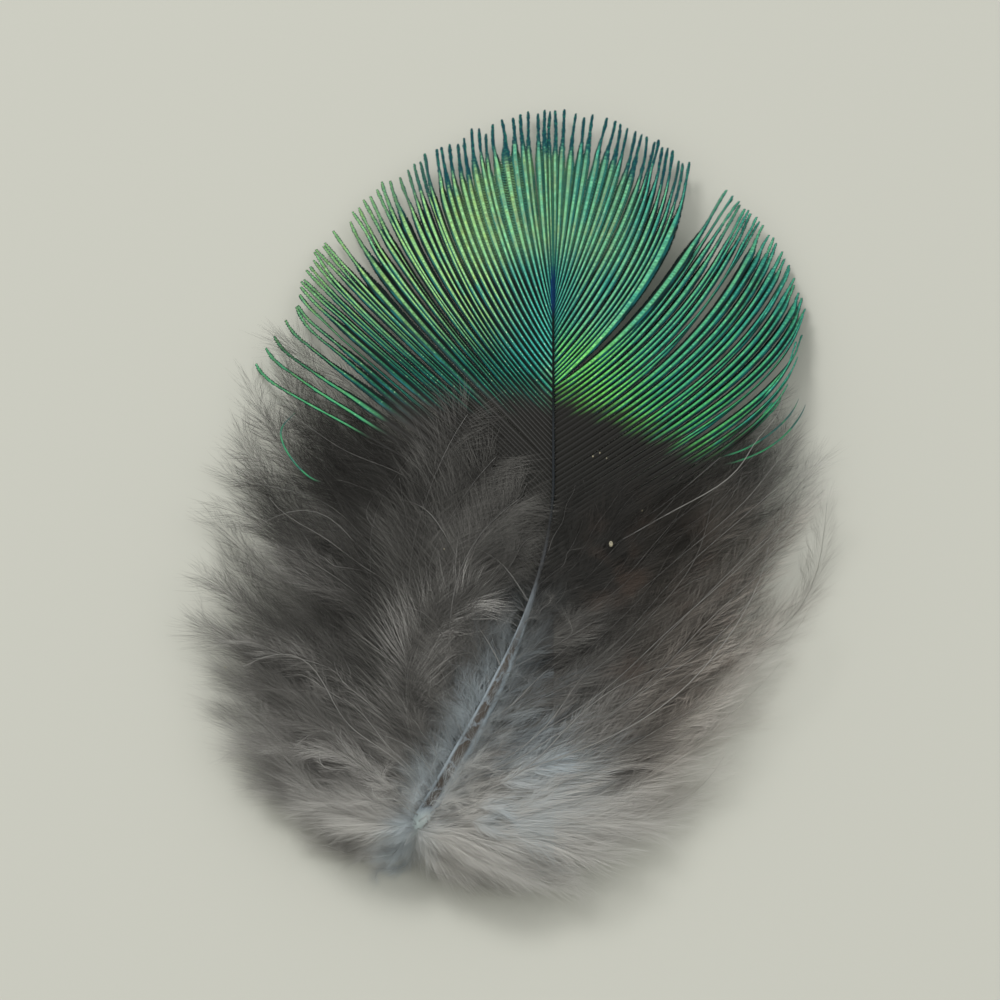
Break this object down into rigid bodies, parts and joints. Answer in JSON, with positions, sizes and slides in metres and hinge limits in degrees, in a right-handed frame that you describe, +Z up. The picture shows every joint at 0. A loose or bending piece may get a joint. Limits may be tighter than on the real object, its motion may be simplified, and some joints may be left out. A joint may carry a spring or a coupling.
{
  "type": "peacock feather",
  "caption": "Small glossy green body feather with a rounded fan-shaped tip and a fluffy grey downy base, lying flat, for display, costume or craft dressing.",
  "frame": {"origin": "middle of the bounding box, on the surface that the feather lies on", "axes": "+Y along the feather from the quill towards the round tip of the fan, +X towards the right-hand vane seen from above with the fan pointing away, +Z up, out of the glossy upper side"},
  "size_m": [0.0472, 0.0708, 0.009],
  "materials": {
    "feather": "soft barbs with a glossy green and blue sheen on the fan, dull grey down below it"
  },
  "bodies": {
    "root": {"feather": "feather"}
  },
  "joints": []
}
